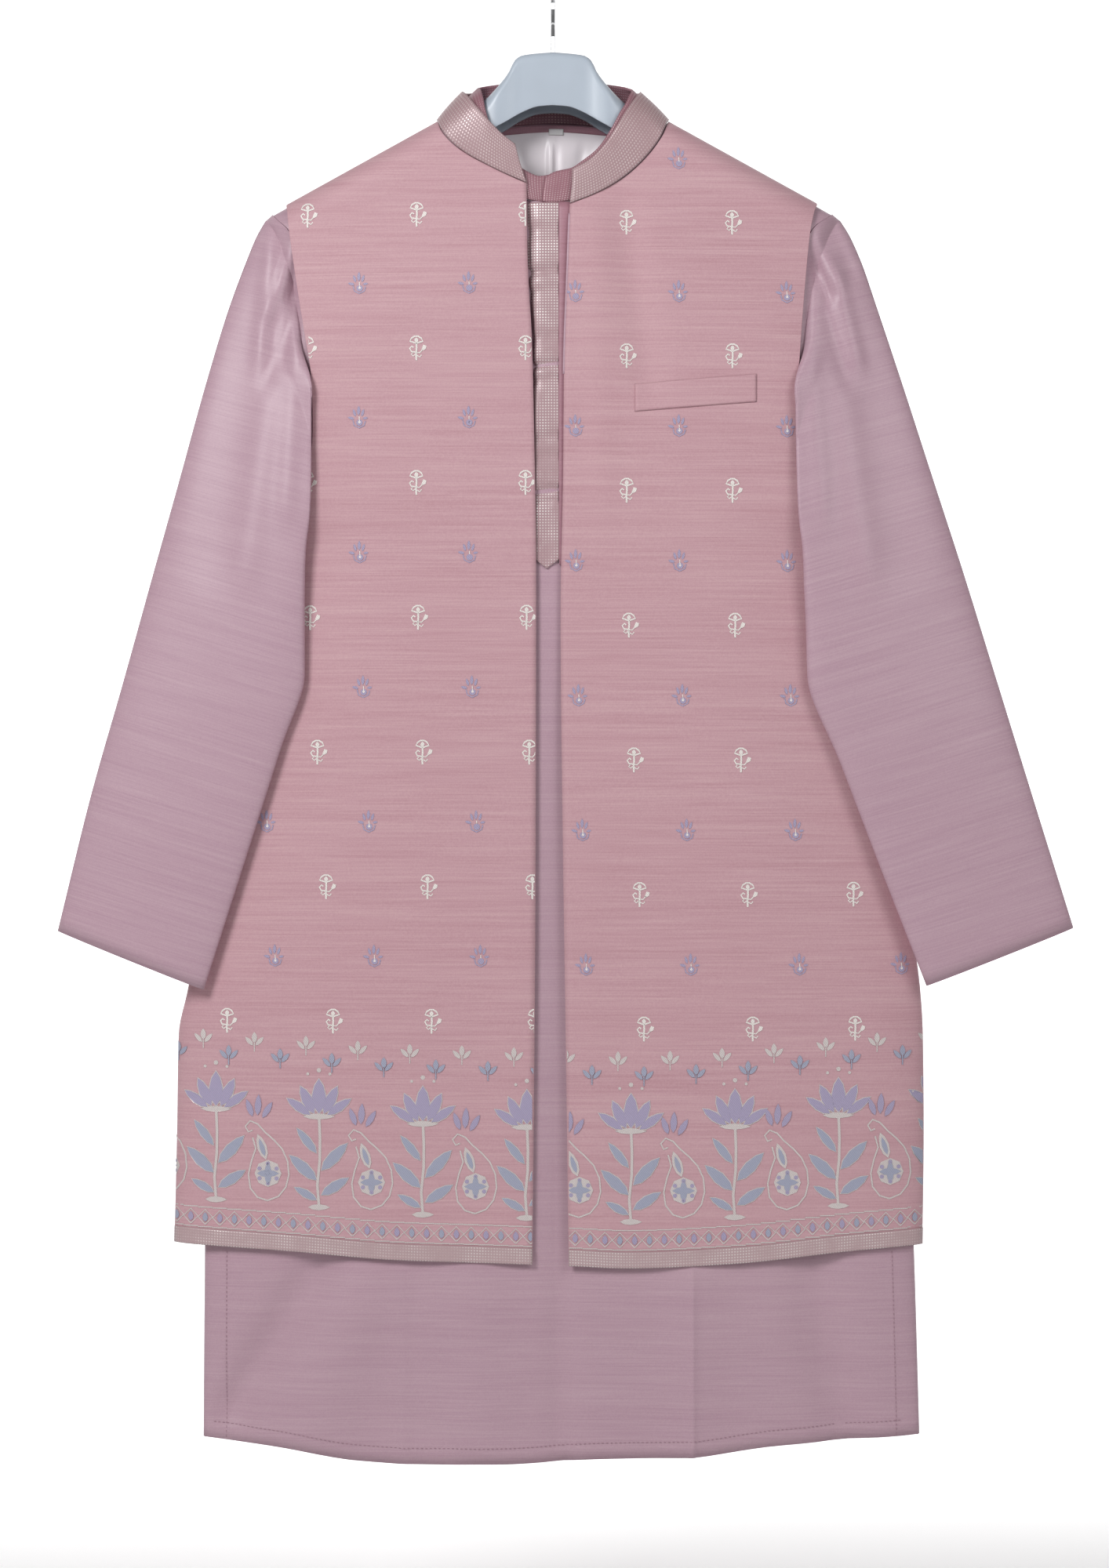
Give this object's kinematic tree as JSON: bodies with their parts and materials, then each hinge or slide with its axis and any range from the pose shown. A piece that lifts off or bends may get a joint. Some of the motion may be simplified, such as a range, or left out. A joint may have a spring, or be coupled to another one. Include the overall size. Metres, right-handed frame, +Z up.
{
  "type": "kurta and jacket set on a hanger",
  "caption": "Knee-length kurta under a long open sleeveless band-collar jacket, hanging flat on a plastic hanger with a wire hook.",
  "frame": {"origin": "inside of the bend of the hanger's hook, where a rail holds it", "axes": "+X to the wearer's left, +Y to the garment's back, +Z up"},
  "size_m": [0.8225, 0.079, 1.2188],
  "materials": {
    "kurta_cloth": "silk-blend satin weave",
    "kurta_zari": "dark zari check",
    "lining_satin": "satin",
    "label_satin": "satin ribbon",
    "jacket_brocade": "slub brocade",
    "jacket_zari": "zari check",
    "hem_tape": "zari check",
    "hanger_plastic": "moulded satin",
    "hook_steel": "plated wire"
  },
  "bodies": {
    "root": {"kurta_front": "kurta_cloth", "kurta_back": "kurta_cloth", "kurta_sleeve_right": "kurta_cloth", "kurta_sleeve_left": "kurta_cloth", "kurta_collar": "kurta_zari", "kurta_placket": "kurta_zari", "kurta_neck_facing": "lining_satin", "kurta_neck_label": "label_satin", "jacket_front_right": "jacket_brocade", "jacket_front_left": "jacket_brocade", "jacket_back": "jacket_brocade", "jacket_collar": "jacket_zari", "jacket_pocket_welt": "jacket_brocade", "jacket_hem_tape_right": "hem_tape", "jacket_hem_tape_left": "hem_tape", "jacket_hem_tape_back": "hem_tape", "hanger": "hanger_plastic", "hanger_hook": "hook_steel"}
  },
  "joints": []
}
